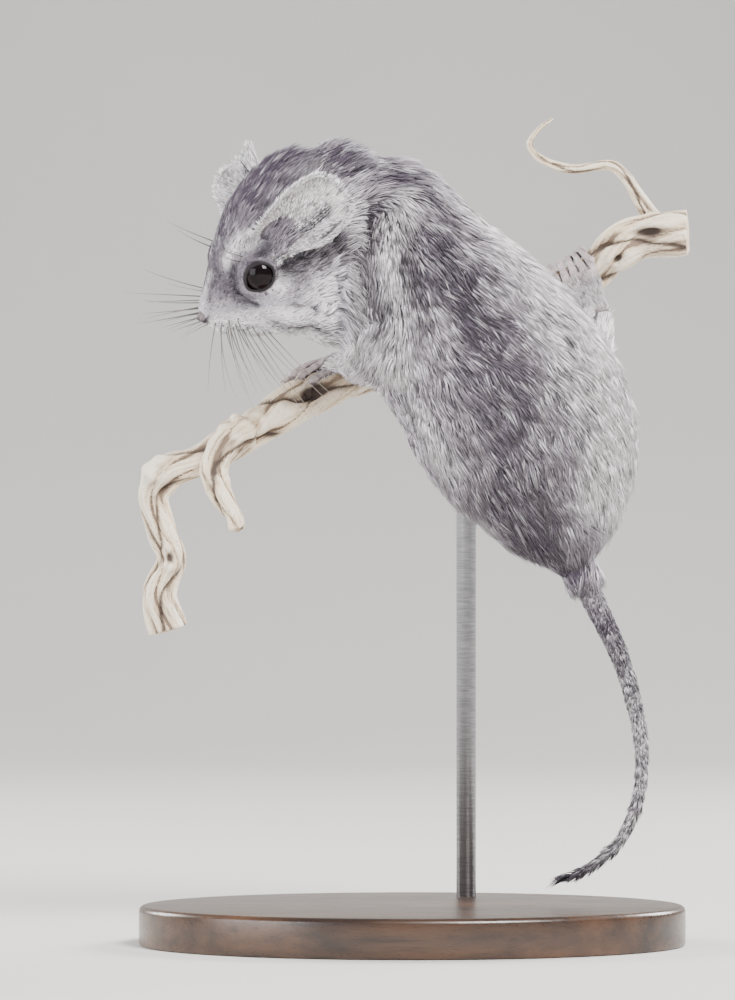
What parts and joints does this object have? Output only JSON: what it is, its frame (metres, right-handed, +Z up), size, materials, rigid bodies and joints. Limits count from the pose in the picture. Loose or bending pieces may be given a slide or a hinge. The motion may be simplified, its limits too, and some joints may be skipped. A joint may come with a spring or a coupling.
{
  "type": "desert dormouse",
  "caption": "Life-size desert dormouse with a round furred body, clinging to a cut branch and held over a flat oval base by a rod.",
  "frame": {"origin": "centre of the stand's underside, on the surface it rests on", "axes": "+Z up; the viewer of the picture looks along +Y, so the animal's back faces -Y and its nose points to -X"},
  "size_m": [0.0841, 0.054, 0.1251],
  "materials": {
    "fur": "soft dense grey fur",
    "ear_skin": "thin skin with short hairs",
    "eye": "wet black",
    "paw_skin": "bare skin",
    "tail_fur": "short bristly hair",
    "branch_wood": "pale weathered bark",
    "base_wood": "satin dark stain",
    "rod_steel": "brushed"
  },
  "bodies": {
    "root": {"head": "fur", "neck": "fur", "torso": "fur", "foreleg_left": "fur", "foreleg_right": "fur", "hindleg_left": "fur", "hindleg_right": "fur", "ear_left": "ear_skin", "ear_right": "ear_skin", "eye_left": "eye", "eye_right": "eye", "forepaw_left": "paw_skin", "forepaw_right": "paw_skin", "hindpaw_left": "paw_skin", "hindpaw_right": "paw_skin", "tail_root": "tail_fur", "tail_middle": "tail_fur", "tail_tip": "tail_fur", "perch_branch": "branch_wood", "perch_twig_hook": "branch_wood", "perch_twig_fine": "branch_wood", "stand_base": "base_wood", "stand_rod": "rod_steel"}
  },
  "joints": []
}
